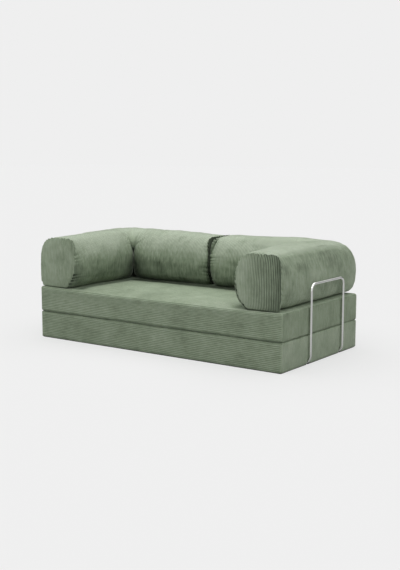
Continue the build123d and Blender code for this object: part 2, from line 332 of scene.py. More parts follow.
def wrap_form(z_low, z_high, radii, zip_z, crown, sag, is_lower, top_painted_light, seed, press=None):
    """A mattress cover: a rounded loop across, carried along the sofa, drawn in at the ends.
    The pile stands out along the loop's normals, and the top falls away to its edges by the crown
    and, along the front, by the sag. The lower cover's bottom is plain, with channels for the feet.
    Press says how far down the top is pressed, and how much painted shade it gets there. The crevice
    between the mattresses and the foot get painted shade, and the top gets painted light towards its
    right front."""
    span = rounded_loop(front_y + wale_height, rear_y - wale_height, z_low, z_high, radii)
    length = resample(span, loop_samples)[1][-1] * loop_samples / (loop_samples - 1)
    loop, across = resample(span, int(round(length / wale_pitch)) * samples_per_wale)
    across = across * wale_pitch * len(across) / samples_per_wale / length
    normal = outward(loop)
    x = wrap_stations()[:, None]
    edge = end_x - np.abs(x)
    draw = wrap_edge_draw * np.clip(1 - edge / wrap_edge, 0, 1) ** 2
    y = loop[None, :, 0] - normal[None, :, 0] * draw
    z = loop[None, :, 1] - normal[None, :, 1] * draw
    rise = (loop[:, 1] - z_low) / (z_high - z_low)
    near = np.minimum(np.minimum(edge, y - front_y), rear_y - y)
    fall = crown * np.clip(1 - near / crown_reach, 0, 1) ** 2.2
    front = np.clip(1 - (y - front_y) / sag_reach, 0, 1) ** 2
    fall = fall + sag * front * (1 - (np.abs(x) / end_x) ** 4)
    z = z - fall * smooth_step(0.45, 1.0, rise)[None, :]
    soft = unevenness(np.stack([x + 0 * y, y, z], -1), cover_wave, cover_wave_height, seed)
    from_zip = np.abs(loop[:, 1] - zip_z)
    seat = smooth_step(rear_y - rear_face_from, rear_y - rear_face_to, loop[:, 0])
    seat = seat * (1 - smooth_step(zip_seat_half, zip_seat_half + zip_seat_slope, from_zip))
    pile = np.ones(len(loop)) - seat
    below = normal[:, 1] < -0.7
    if is_lower:
        pile = pile * ~below
    out = wale(across) * pile - zip_seat_sink * seat
    seam = np.clip(1 - edge / flat_edge, 0, 1)
    out = out[None, :] * (1 - seam) + soft * (1 - seam) * (~below)[None, :]
    y = y + normal[None, :, 0] * out
    z = z + normal[None, :, 1] * out
    if is_lower:
        over = channel(y, tube_radius) * (np.abs(x) > foot_end_x - channel_lead) * below[None, :]
        z = z + over * (2 * tube_radius + channel_gap - base_top)
    # Painted shade in the crevice between the mattresses and along the foot, and painted light on the top
    crevice = bell(loop[:, 1] - (z_high if is_lower else z_low), crevice_reach)
    foot = bell(loop[:, 1] - z_low, foot_reach) * is_lower
    upright = smooth_step(0.25, 0.7, np.abs(normal[:, 0]))
    shade = plain_tone - (crevice_shade * crevice + foot_shade * foot) * upright
    top_lit = smooth_step(-0.2, 0.9, x / end_x) * smooth_step(0.0, -0.4, y)
    shade = shade + top_painted_light * top_lit * smooth_step(0.5, 0.9, normal[:, 1])
    if press:
        sunk, darker = press(x, y, normal[:, 1])
        shade = shade - darker
        z = z - sunk
    form = np.stack([x + 0 * y, y, z], -1)
    return form, across[None, :], x, pile[None, :] * (1 - seam), shade


def sew_cover(mattress, *sizes):
    """The cover of one mattress, made in place of its solid cover and foam, which are hidden."""
    form, across, along, pile, shade = wrap_form(*sizes)
    cover = mesh_from_grid(f"{mattress}_corduroy", form, across, along, True, pile=pile, painted_light=shade)
    cover.data.materials.append(corduroy)
    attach(cover, mattress)
    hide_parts(f"{mattress}_cover", f"{mattress}_foam")


sew_cover(
    "lower_mattress", base_top, slab_high.z - wale_height, (0.012, 0.014, 0.010, 0.005),
    middle_z("lower_mattress_zip_tape"), 0.0, 0.0, True, 0, 11)

# Lower mattress end panels
# A panel of the same corduroy closes each end, with its wales upright. Its edge is sewn to the
# long panel all round, and it gives way where the tube's feet turn in under the mattress.
panel_rows = 40
panel_corner = 0.008
panel_inset = 0.0032
panel_dome = 0.0065
panel_wave = 0.30
panel_wave_height = 0.0018
tube_bend = 0.050
foot_skin = 0.001
# Painted light on the lower mattress's end panels, and painted shade at each panel's top and foot
lower_panel_light = 0.20
panel_edge_shade = 0.60


def panel_form(side, z_low, z_high, top_fall, has_feet, seed):
    """An end panel: columns run along the depth and rows go up, inside a rounded border.
    It stands out by one minus the ninth power of the way up from its middle, times the same with
    the sixtieth power along it, plus the pile. Round a foot it follows the tube's bend."""
    depth = rear_y - front_y
    count = int(round(depth / wale_pitch)) * samples_per_wale + 1
    s = np.linspace(0, 1, count)[:, None]
    t = np.linspace(0, 1, panel_rows)[None, :]
    y = front_y + wrap_edge_draw + (depth - 2 * wrap_edge_draw) * s
    from_edge = np.minimum(y - front_y, rear_y - y) - wrap_edge_draw
    cut = panel_corner - np.sqrt(panel_corner**2 - np.clip(panel_corner - from_edge, 0, panel_corner) ** 2)
    low = z_low + wrap_edge_draw + cut
    high = z_high - wrap_edge_draw - top_fall - cut
    z = low + (high - low) * (0.5 - 0.5 * np.cos(np.pi * t))
    up = 2 * np.abs(t - 0.5)
    over = 2 * np.abs(s - 0.5)
    dome = (1 - up**9) * (1 - over**60)
    x = end_x - wale_height - panel_inset + panel_dome * dome
    x = x + wale(s * depth) * dome
    place = np.stack([0 * y + x, y + 0 * x, z], -1)
    x = x + unevenness(place * [0, 1, 1], panel_wave, panel_wave_height, seed) * dome
    if has_feet:
        over_foot = channel(y, tube_radius * 0.8)
        inside = tube_bend - tube_radius
        turned = tube_bend + tube_radius
        arc = np.sqrt(np.clip(inside**2 - (turned - z) ** 2, 0, None))
        skin = tube_high.x - tube_radius - tube_bend + arc - foot_skin
        x = np.where(z < turned, x + over_foot * np.minimum(skin - x, 0), x)
        z = np.maximum(z, low + over_foot * (2 * tube_radius + 2 * foot_skin - low))
    # Painted light and shade: lighter on the lower mattress, darker towards the top and the foot
    shade = plain_tone + lower_panel_light * has_feet - panel_edge_shade * up**11 + 0 * s
    return np.stack([side * x, y + 0 * x, z + 0 * x], -1), s * depth, z, shade


def sew_end_panels(mattress, z_low, z_high, top_fall, has_feet, seed):
    """The two end panels of one mattress."""
    for side, word in ((-1, "left"), (1, "right")):
        form, across, along, shade = panel_form(side, z_low, z_high, top_fall, has_feet, seed + side)
        panel = mesh_from_grid(
            f"{mattress}_{word}_end_panel", form, across, along, False, side < 0, painted_light=shade)
        panel.data.materials.append(corduroy)
        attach(panel, mattress)
        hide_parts(f"{mattress}_{word}_side_panel")


sew_end_panels("lower_mattress", base_top, slab_high.z, 0.0, True, 20)

# Base cloth
# A non-slip cloth is sewn in under the lower mattress: charcoal, close woven, with rows of small rubber
# dots. The channels that the tube's feet slide in are pressed up into it.


def speckled_material(name, dark, light, stretch, roughness, relief, metallic=0.0):
    """A material on object coordinates: noise, stretched as given, mixes the two colours, moves the
    roughness between its two values and gives a fine relief."""
    material, tree, shader = new_material(name)
    shader.inputs["Metallic"].default_value = metallic
    spot = node_at(tree, "TexCoord", (-1100, 0))
    pull = node_at(tree, "Mapping", (-920, 0), {"Scale": stretch}, {"Vector": spot.outputs["Object"]})
    grain = node_at(
        tree, "TexNoise", (-740, 0), {"Scale": 1.0, "Detail": 4.0}, {"Vector": pull.outputs[0]})
    tone = node_at(
        tree, "Mix", (-400, 100), {"A": (*dark, 1), "B": (*light, 1)},
        {"Factor": grain.outputs["Fac"]}, data_type="RGBA")
    rough = node_at(
        tree, "MapRange", (-400, -150), {"To Min": roughness[0], "To Max": roughness[1]},
        {"Value": grain.outputs["Fac"]})
    bump = node_at(tree, "Bump", (-200, -300), {"Distance": relief}, {"Height": grain.outputs["Fac"]})
    tree.links.new(tone.outputs["Result"], shader.inputs["Base Color"])
    tree.links.new(rough.outputs[0], shader.inputs["Roughness"])
    tree.links.new(bump.outputs["Normal"], shader.inputs["Normal"])
    return material


def dress(node, material):
    """Put a material on a piece that keeps its first shape."""
    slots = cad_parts[node].data.materials
    slots.clear()
    slots.append(material)


non_slip = speckled_material(
    "charcoal_non_slip_cloth", dark=(0.018, 0.018, 0.019), light=(0.048, 0.048, 0.050),
    stretch=(900, 900, 900), roughness=(0.85, 0.95), relief=0.0003)
tree = non_slip.node_tree
spot = node_at(tree, "TexCoord", (-1100, -500))
dots = node_at(
    tree, "TexVoronoi", (-900, -500), {"Scale": 140, "Randomness": 0.0}, {"Vector": spot.outputs["Object"]})
raised = node_at(
    tree, "MapRange", (-700, -500), {"From Min": 0.42, "From Max": 0.30},
    {"Value": dots.outputs["Distance"]}, interpolation_type="SMOOTHSTEP")
swell = node_at(
    tree, "Bump", (0, -500), {"Distance": 0.0008},
    {"Height": raised.outputs[0], "Normal": tree.nodes["Bump"].outputs["Normal"]})
tree.links.new(swell.outputs["Normal"], tree.nodes["Principled BSDF"].inputs["Normal"])
dress("lower_mattress_base_cloth", non_slip)

# Upper mattress cover
# The same cover on the mattress that is sat on. Its top is crowned, and it falls away to the edges,
# most at the front, where nothing holds it up between the two ends.
upper_crown = 0.014
front_sag = 0.008
arm_press = 0.004
arm_press_reach = 0.035
back_press = 0.009
back_press_reach = 0.050
press_from = -0.06
press_to = -0.02
# Painted shade on the seat beside the bolsters, and a wider painted shadow in front of the back
beside_bolster_shade = 0.50
back_shade = 0.16
back_shade_reach = 0.15
rest_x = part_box("right_bolster_front_panel")[0].x
rest_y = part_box("right_bolster_middle_panel")[0].y
upper_low, upper_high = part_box("upper_mattress_cover")


def pressed_and_shaded_seat(x, y, up):
    """The seat beside the bolsters that lie on it: how far it is pressed down, and how much painted shade
    it gets there. Both fade as bell curves of the distance from the arms and from the back, and a
    wider painted shadow falls on the seat in front of the back."""
    from_arm = rest_x - np.abs(x)
    from_back = rest_y - y
    level = smooth_step(0.9, 0.98, up)[None, :] * smooth_step(0.01, 0.05, y - front_y)
    by_arm = bell(from_arm, arm_press_reach) * smooth_step(press_from, press_to, from_back)
    by_back = bell(from_back, back_press_reach) * smooth_step(press_from, press_to, from_arm)
    wide = bell(np.clip(from_back, 0, None), back_shade_reach) * (from_arm > 0)
    darker = beside_bolster_shade * np.maximum(by_arm, by_back) + back_shade * wide
    return np.maximum(arm_press * by_arm, back_press * by_back) * level, darker * level


sew_cover(
    "upper_mattress", upper_low.z + wale_height, upper_high.z - wale_height,
    (0.014, 0.016, 0.014, 0.012), middle_z("upper_mattress_zip_tape"), upper_crown, front_sag,
    False, 0.14, 31, pressed_and_shaded_seat)

# Upper mattress end panels
# The same panels, lower by most of the crown, because that is how far the top falls to its seams.
panel_fall_share = 0.9
sew_end_panels(
    "upper_mattress", upper_low.z, upper_high.z, upper_crown * panel_fall_share, False, 40)

# Fold seam
# The two covers are joined along the front edge by a strip of the same cloth, sewn in between them.
# The fold turns about it, with one edge sewn to each mattress. Here the strip is one piece, carried by
# neither.
seam_low, seam_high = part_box("fold_seam")
web_half = 0.0045
web_depth = 0.0125
web_thickness = 0.0012
stitch_pitch = 0.006
web_columns = 28
x = np.arange(seam_low.x, seam_high.x, stitch_pitch / 3)[:, None]
turn = np.linspace(0, 2 * np.pi, web_columns, endpoint=False)[None, :]
seam_z = middle_z("fold_seam")
lift = web_half * np.sign(np.cos(turn)) * np.abs(np.cos(turn)) ** 0.6
puff = web_thickness * (0.6 + 0.4 * np.abs(np.sin(np.pi * x / stitch_pitch)))
form = np.stack([x + 0 * turn, front_y + web_depth - puff * np.sin(turn), seam_z + lift + 0 * x], -1)
fold_seam = mesh_from_grid("fold_seam_strip", form, lift + 0.02, x, True, True)
fold_seam.data.materials.append(corduroy)
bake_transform(fold_seam)
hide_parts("fold_seam")

# Bolster covers
# Each L-shaped bolster is one arm and half of the back, stuffed tight in a corduroy cover whose wales
# run round it. Its ends are gathered into a seam, and its inner corner is pulled into a deep crease.
ring_count = 264
ring_samples = 800
soften_half = 13
path_step = 0.0058
seam_steps = np.array([0.0, 0.0015, 0.0035])
front_inset = 0.004
middle_inset = 0.0035
outer_pile = 0.001
corner_round = 0.042
crease_depth = 0.040
crease_reach = 0.110
crease_span = 0.24
side_shoulder = 0.058
top_shoulder = 0.40
front_draw = 0.020
middle_draw = 0.010
seam_spread = 0.002
end_height_shares = {"left": 0.955, "right": 0.938}
stuffing_rise = 0.004
corner_rise = 0.015
corner_rise_reach = 0.22
# The foot of the inner side is tucked in along the front of the arm
tuck_depth = 0.030
tuck_height = 0.10
tuck_width = 0.12
tuck_run = 0.45
# The left bolster reaches a little past the middle, and the front of the right arm leans inwards
middle_shift = 0.022
right_lean = 0.014
lean_run = 0.50
front_droop = 0.008
droop_reach = 0.035
front_pleats = 37
middle_pleats = 41
pleat_depth = 0.0150
pleat_reach = 0.024
wrinkle_counts = (9, 14, 21, 30)
wrinkle_height = 0.0060
wrinkle_from = 0.045
wrinkle_spread = 0.075
wrinkle_top_share = 0.72
mitre_depth = 0.007
mitre_width = 0.018
mitre_reach = 0.20
# The cloth is pulled in round the top of the crease
pull_depth = 0.010
pull_reach = 0.05
# Waves in the stuffing: their size and height
stuffing_waves = ((0.40, 0.0042), (0.15, 0.0017), (0.07, 0.0009))
# How far the outer side swells: the left bolster is side -1 and the right one side 1
side_swells = {-1: 0.0238, 1: 0.007}
swell_front_ys = (-0.19, -0.30)
swell_rear_ys = (0.27, 0.36)
side_band = 0.06
# The sewn ends lean back at the top and at the foot, and their hems reach further in
seam_lead = 0.012
foot_lead = 0.006
lead_reach = 0.025
hem_lead = 0.014
# Painted shade on the pile at each place: how deep it is and how far it reaches
crease_shade = 0.20
crease_shade_reach = 0.09
corner_shade = 0.40
corner_shade_reach = 0.16
slit_shade = 0.50
slit_shade_reach = 0.022
fold_shade = 0.55
front_shade = 0.14
front_shade_reach = 0.040
gap_shade = 0.62
gap_shade_reach = 0.009
sole_shade = 0.14
sole_shade_share = 0.05
front_limit = 0.60
front_limit_reach = 0.060
# Going up the bolster: how far the outer and inner sides are drawn in, as shares of the arm's width
body_shares = np.array([
    (0.00, 0.150, 0.150),
    (0.03, 0.088, 0.092),
    (0.10, 0.036, 0.040),
    (0.22, 0.008, 0.012),
    (0.40, 0.000, 0.000),
    (0.52, 0.006, 0.010),
    (0.64, 0.026, 0.036),
    (0.76, 0.070, 0.088),
    (0.86, 0.135, 0.155),
    (0.94, 0.220, 0.240),
    (0.985, 0.320, 0.335),
    (1.00, 0.420, 0.430),
])
end_shares = np.array([
    (0.00, 0.040, 0.250),
    (0.03, 0.014, 0.195),
    (0.12, 0.000, 0.110),
    (0.26, 0.000, 0.035),
    (0.45, 0.000, 0.000),
])
# The top of a sewn end is squarer at one corner than at the other
end_top_shares = np.array([
    (0.66, 0.002, 0.012),
    (0.80, 0.010, 0.045),
    (0.89, 0.030, 0.095),
    (0.95, 0.064, 0.165),
    (0.985, 0.118, 0.250),
    (1.00, 0.210, 0.360),
])


def bolster_ring(shares, width, height):
    """The section across a bolster, from the foot of its inner side up, over and round again.
    Its corners are softened by a running mean along it."""
    rise, outer, inner = shares.T
    up = np.column_stack([inner * width, rise * height])
    down = np.column_stack([width - outer * width, rise * height])[::-1]
    ring = resample(np.vstack([up, down]), ring_samples)[0]
    kernel = np.hanning(2 * soften_half + 1)
    kernel = kernel / kernel.sum()
    wide = np.vstack([ring[-soften_half:], ring, ring[:soften_half]])
    ring = np.column_stack([np.convolve(wide[:, i], kernel, "valid") for i in (0, 1)])
    ring[:, 1] -= ring[:, 1].min()
    ring[:, 1] *= height / ring[:, 1].max()
    return resample(ring, ring_count)


def bolster_sizes(word):
    """Where a bolster's faces lie, from the solids it stands for, as if it were on the right."""
    cover_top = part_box(f"{word}_bolster_cover")[1].z
    front_low, front_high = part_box(f"{word}_bolster_front_panel")
    middle_low, middle_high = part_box(f"{word}_bolster_middle_panel")
    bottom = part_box(f"{word}_bolster_base_panel")[0].z
    shift = middle_shift if word == "right" else -middle_shift
    inner_x = min(abs(front_low.x), abs(front_high.x))
    outer_x = max(abs(front_low.x), abs(front_high.x)) + outer_pile
    return SimpleNamespace(
        inner_x=inner_x, outer_x=outer_x, width=outer_x - inner_x,
        middle_x=min(abs(middle_low.x), abs(middle_high.x)) + middle_inset + shift,
        start_y=front_low.y + front_inset, back_y=middle_low.y, rear_y=middle_high.y,
        bottom=bottom, height=cover_top - bottom + stuffing_rise)


def bolster_path(size):
    """Stations along the bolster: straight down the arm, a fan about the inner corner, straight on.
    Gives each one's inner and outer foot, the distance so far, the part of the fan's turn, which
    stretch it is on, and how far it is from the nearer end and from the fan."""
    arm_run = size.back_y - size.start_y
    back_run = size.inner_x - size.middle_x
    arm = np.concatenate([seam_steps, np.arange(path_step, arm_run, path_step)])
    side_run = size.rear_y - corner_round - size.back_y
    rear_run = size.outer_x - corner_round - size.inner_x
    quarter = corner_round * np.pi / 2
    out = np.arange(0, side_run + quarter + rear_run, path_step * 0.8)
    back = np.concatenate([np.arange(path_step, back_run, path_step), back_run - seam_steps[::-1]])
    back = np.unique(np.round(back, 5))
    turn = np.clip((out - side_run) / corner_round, 0, np.pi / 2)
    past = np.clip(out - side_run - quarter, 0, None)
    edge_x = size.outer_x - corner_round + corner_round * np.cos(turn) - past
    edge_y = size.rear_y - corner_round + corner_round * np.sin(turn) + np.clip(out - side_run, None, 0)
    inner = np.vstack([
        np.column_stack([size.inner_x + 0 * arm, size.start_y + arm]),
        np.tile([size.inner_x, size.back_y], (len(out), 1)),
        np.column_stack([size.inner_x - back, size.back_y + 0 * back]),
    ])
    outer = np.vstack([
        np.column_stack([size.outer_x + 0 * arm, size.start_y + arm]),
        np.column_stack([edge_x, edge_y]),
        np.column_stack([size.inner_x - back, size.rear_y + 0 * back]),
    ])
    distance = np.concatenate([arm, arm_run + out, arm_run + out[-1] + back])[:, None]
    fan = np.concatenate([arm * 0 - 1, out / out[-1], back * 0 + 2])[:, None]
    before, after = distance[fan >= 0][0] - distance, distance - distance[fan <= 1][-1]
    return SimpleNamespace(
        inner=inner, outer=outer, distance=distance, left_to_go=distance[-1] - distance, fan=fan,
        on_arm=fan < 0, in_fan=(fan >= 0) & (fan <= 1), on_back=fan > 1,
        first_half=distance < distance[-1] / 2, ends=np.minimum(distance, distance[-1] - distance),
        away=np.clip(np.maximum(before, after), 0, None))


def bolster_sections(word, size, path, body):
    """The section at each station, as places across the bolster and heights. A sewn end is narrower
    and lower: the sides swell to the body by a quarter circle within a short shoulder, and the top
    within a long one. The corner rises as a bell curve."""
    front_top = end_top_shares[:, [0, 1, 2] if word == "right" else [0, 2, 1]]
    front = bolster_ring(np.vstack([end_shares, front_top]), size.width, size.height)[0]
    middle = bolster_ring(np.vstack([end_shares, end_top_shares[:, [0, 1, 1]]]), size.width, size.height)[0]
    swell_in = np.sqrt(np.clip(1 - np.clip(1 - path.ends / side_shoulder, 0, 1) ** 2, 0, 1))
    swell_up = 1 - np.clip(1 - path.ends / top_shoulder, 0, 1) ** 2.4
    draw = np.where(path.first_half, front_draw, middle_draw)
    sewn_a = np.where(path.first_half, front[:, 0], middle[:, 0])
    sewn_z = np.where(path.first_half, front[:, 1], middle[:, 1])
    drawn = draw + sewn_a * (size.width - draw + seam_spread) / size.width
    a = drawn + (body[None, :, 0] - drawn) * swell_in
    end_share = end_height_shares[word]
    share = end_share + (1 - end_share) * (0.30 * swell_in + 0.70 * swell_up)
    share = share + corner_rise * bell(path.away, corner_rise_reach)
    z = (sewn_z + (body[None, :, 1] - sewn_z) * swell_in) * share
    tucked = 1 - smooth_step(size.back_y - tuck_run, size.back_y, path.inner[:, 1])[:, None]
    low_inner = np.clip(1 - z / tuck_height, 0, 1) ** 2 * np.clip(1 - a / tuck_width, 0, 1)
    return a + tuck_depth * tucked * low_inner * path.on_arm, z


def set_in_crease(size, path, a):
    """Lay each section between its inner and outer foot, and pull it in at the inner corner: along
    the path by a square law, across it by a quarter circle, and less towards the outer side."""
    part = a / size.width
    x = path.inner[:, 0:1] + (path.outer[:, 0:1] - path.inner[:, 0:1]) * part
    y = path.inner[:, 1:2] + (path.outer[:, 1:2] - path.inner[:, 1:2]) * part
    pull = crease_depth * np.clip(1 - a / crease_span, 0, 1) ** 1.5
    near = np.clip(1 - path.away / crease_reach, 0, 1)
    sideways = pull * (1 - np.sqrt(1 - near**2))
    toward = pull * near**2
    return x + np.where(path.on_back, toward, sideways), y + np.where(path.on_arm, toward, sideways)


def pleats(part, count, seed):
    """Gathers round a sewn end: sharp valleys between rounded folds of uneven width and depth."""
    rng = np.random.default_rng(seed)
    swing = rng.normal(0, 0.35, (10, 1))
    start = rng.uniform(0, 6, (10, 1))
    wander = (swing * np.sin(2 * np.pi * np.arange(2, 12)[:, None] * part + start)).sum(0)
    depth = 0.62 + 0.38 * np.sin(2 * np.pi * 7 * part + rng.uniform(0, 6))
    return -depth * (1 - np.abs(np.sin(np.pi * count * part + wander)) ** 0.8)


def corner_wrinkles(path, reach, climb, part, rise, seed):
    """Wrinkles that spread from the top of the crease: four sines of the angle about it, within a
    bell curve of the distance from it. The mitre is a bell curve across the middle of the fan.
    Gives both as shares of their heights, with that distance."""
    way = np.where(path.on_arm, -1, 1)
    beside = way * path.away + way * np.pi / 4 * np.clip(reach, 0, 0.2)
    swing = np.where(path.in_fan, (path.fan - 0.5) * np.pi / 2 * reach, beside)
    spread = np.hypot(swing, climb)
    angle = np.arctan2(swing, climb)
    starts = np.random.default_rng(seed).uniform(0, 6, 4)
    ripple = sum(np.sin(angle * k + p) for k, p in zip(wrinkle_counts, starts)) / 4
    ripple = ripple * bell(spread - wrinkle_from, wrinkle_spread)
    ripple = ripple * smooth_step(-0.07, 0.02, climb) * smooth_step(0.26, 0.12, part)
    mitre = np.where(path.in_fan, bell((path.fan - 0.5) * reach, mitre_width), 0)
    mitre = mitre * fade(reach, mitre_reach) * smooth_step(0.55, 0.85, rise)
    return ripple, mitre, spread


def stuffing_form(side, path, place, part, rise, reach, outermost, upright, seed):
    """How far the stuffing pushes the cloth out: slow waves, held back on the upright outer side,
    where the bolster swells instead between the tube's legs and its ends."""
    y = place[..., 1]
    soft = sum(unevenness(place, *wave, seed + step) for step, wave in enumerate(stuffing_waves))
    soft = soft * np.clip(path.ends / 0.05, 0, 1) * np.clip(reach / 0.08, 0.1, 1)
    soft = np.where(upright > 0.6, np.minimum(soft, 0.001), soft)
    by_tube = smooth_step(*swell_front_ys, y) + 0.9 * smooth_step(*swell_rear_ys, y)
    swell = side_swells[side] * by_tube * np.clip(4 * rise * (1 - rise), 0, 1) ** 0.5
    swell = swell * np.clip(path.ends / 0.03, 0, 1)
    return soft + swell * smooth_step(0.6, 0.9, part) * outermost


def bolster_tones(path, part, rise, reach, spread, folds):
    """Painted light and shade on the pile: painted shade low on the inner side, at the corner, in the
    folds, at the foot and at the sewn ends, and painted light along the top of the outer side."""
    inner_light = 0.36 + 0.64 * smooth_step(0.26, 0.92, rise)
    outer_light = 0.56 - 0.14 * smooth_step(0.50, 0.75, rise) + 0.48 * smooth_step(0.84, 0.97, rise)
    tone = inner_light + (outer_light - inner_light) * smooth_step(0.25, 0.60, part)
    tone = tone - crease_shade * bell(spread, crease_shade_reach)
    tone = tone - corner_shade * bell(reach, corner_shade_reach) * smooth_step(0.80, 0.25, rise)
    tone = tone - slit_shade * bell(reach, slit_shade_reach) * smooth_step(0.95, 0.70, rise)
    tone = tone + fold_shade * folds
    inner_side = 1 - smooth_step(0.30, 0.60, part)
    tone = tone - front_shade * fade(path.distance, front_shade_reach) * inner_side
    tone = tone - gap_shade * fade(path.left_to_go, gap_shade_reach) * (0.30 + 0.70 * inner_side)
    tone = tone - sole_shade * bell(rise, sole_shade_share) * inner_side
    limit = front_limit * (2 - fade(path.distance, front_limit_reach)) + smooth_step(0.3, 0.6, part)
    return np.minimum(tone, limit)


def hem(row, shift):
    """The edge turned in behind an end seam: the ring again, a little smaller and further in."""
    middle = (row.min(axis=0) + row.max(axis=0)) / 2
    return (middle + (row - middle) * 0.95 + np.array([*shift, 0]))[None]


def bolster_form(side, seed):
    """One bolster cover: sections carried along its path, set in the crease, then moved along their
    normals by the gathers, the wrinkles and the stuffing, with a hem turned in at each end."""
    word = "right" if side > 0 else "left"
    size = bolster_sizes(word)
    body, around = bolster_ring(body_shares, size.width, size.height)
    path = bolster_path(size)
    a, z = bolster_sections(word, size, path, body)
    x, y = set_in_crease(size, path, a)
    part = a / size.width
    rise = z / size.height
    across = path.outer - path.inner
    across = across / np.linalg.norm(across, axis=1)[:, None]
    normal = outward(body)[None]
    reach = np.hypot(x - size.inner_x - crease_depth, y - size.back_y - crease_depth)
    crease_top = np.interp(wrinkle_top_share * size.height, body[:60, 1], around[:60])
    ripple, mitre, spread = corner_wrinkles(path, reach, around[None, :] - crease_top, part, rise, seed)
    whole = np.arange(ring_count) / ring_count
    at_front = pleats(whole, front_pleats, seed + 1)[None, :] * fade(path.distance, pleat_reach)
    at_middle = pleats(whole, middle_pleats, seed + 2)[None, :] * fade(path.left_to_go, pleat_reach)
    gathers = at_front + at_middle
    zip_low, zip_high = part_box(f"{word}_bolster_zip_tape")
    zip_from, zip_to = sorted((abs(zip_low.x), abs(zip_high.x)))
    beside_zip = np.abs(z + size.bottom - middle_z(f"{word}_bolster_zip_tape")) - zip_seat_half
    off_zip = 1 - smooth_step(0.012, zip_seat_slope, beside_zip) * (
        smooth_step(zip_from - 0.02, zip_from - 0.004, x) * smooth_step(zip_to + 0.02, zip_to + 0.004, x)
    ) * (y > size.back_y + 0.2)
    place = np.stack([side * x, y, z], -1)
    outermost = x > size.outer_x - side_band
    soft = stuffing_form(side, path, place, part, rise, reach, outermost, normal[..., 0], seed + 3)
    gathered = 1 - 0.75 * smooth_step(0.5, 0.95, normal[..., 0])
    pulled = pull_depth * bell(spread, pull_reach)
    out = pleat_depth * gathers * gathered + wrinkle_height * ripple - mitre_depth * mitre - pulled + soft
    out = out * smooth_step(0.0, 0.03, rise) * off_zip
    x = x + across[:, 0:1] * normal[..., 0] * out
    y = y + across[:, 1:2] * normal[..., 0] * out
    z = z + normal[..., 1] * out
    lead = seam_lead * smooth_step(0.55, 1.0, rise) + foot_lead * smooth_step(0.12, 0.0, rise)
    lead = lead * fade(path.ends, lead_reach)
    y = y + lead * path.first_half
    x = x + lead * ~path.first_half
    droop = front_droop * fade(path.distance, droop_reach) * np.clip(1 - rise / 0.25, 0, 1)
    z = np.maximum(size.bottom + z - droop, size.bottom + 0.0004 - droop)
    if side > 0:
        x = x - right_lean * (1 - smooth_step(size.start_y, size.start_y + lean_run, y))
    form = np.stack([side * x, y, z], -1)
    form = np.concatenate([hem(form[0], (0, hem_lead)), form, hem(form[-1], (side * hem_lead, 0))])
    stretch = np.where(path.in_fan, np.clip(part * 1.6, 0, 1), 1)
    pile = 0.85 * np.clip(path.ends / 0.004, 0, 1) * stretch * off_zip
    folds = np.minimum(gathers, 0) + 0.35 * np.minimum(ripple, 0)
    tone = bolster_tones(path, part, rise, reach, spread, folds)
    distance = np.concatenate([[[-0.01]], path.distance, path.distance[-1:] + 0.01])
    pile, tone = (np.concatenate([share[:1], share, share[-1:]]) for share in (pile, tone))
    return form, distance, around[None, :], pile, tone


bolster_corduroy = corduroy_material("bolster_corduroy", 0.0008, 0.20, 0.15, fabric_groove, 0.26)
bolster_rims = {}
for side, word in ((-1, "left"), (1, "right")):
    form, across, along, pile, painted_light = bolster_form(side, 60 + 10 * side)
    bolster_rims[word] = (form[1], form[-2])
    cover = mesh_from_grid(
        f"{word}_bolster_corduroy", form, across, along, True, side < 0, pile, painted_light)
    cover.data.materials.append(bolster_corduroy)
    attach(cover, f"{word}_bolster")
    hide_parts(f"{word}_bolster_cover", f"{word}_bolster_base_panel",
                f"{word}_arm_foam", f"{word}_back_foam")

# Bolster end panels
# A panel of the same corduroy closes each end of a bolster inside its gathered seam. The one at the
# front of an arm bulges, with its wales upright. The two in the middle of the back lie close together
# in the dark and are painted dark with painted shade, and the end of the right arm has painted light
# at its inner side and painted shade towards its outer side.
# The front end of the right arm has wider grooves in the deepest tone: painted shade between its wales
arm_end_corduroy = corduroy_material("arm_end_corduroy", 0.0008, 0.14, 0.10, fabric_deep, 0.15)
end_rows = 52
end_bulge = 0.0170
end_wave = 0.16
end_wave_height = 0.0022
pinch_pitch = 0.026
pinch_depth = 0.0060
pinch_reach = 0.016
middle_gap = 0.0015
# Painted light and shade on the bolster ends: painted shade at the rim, and across the right arm's end
end_tone = 0.60
rim_shade = 0.16
right_end_tone = 0.14
right_end_shade = 0.42
middle_shade_tone = 0.10


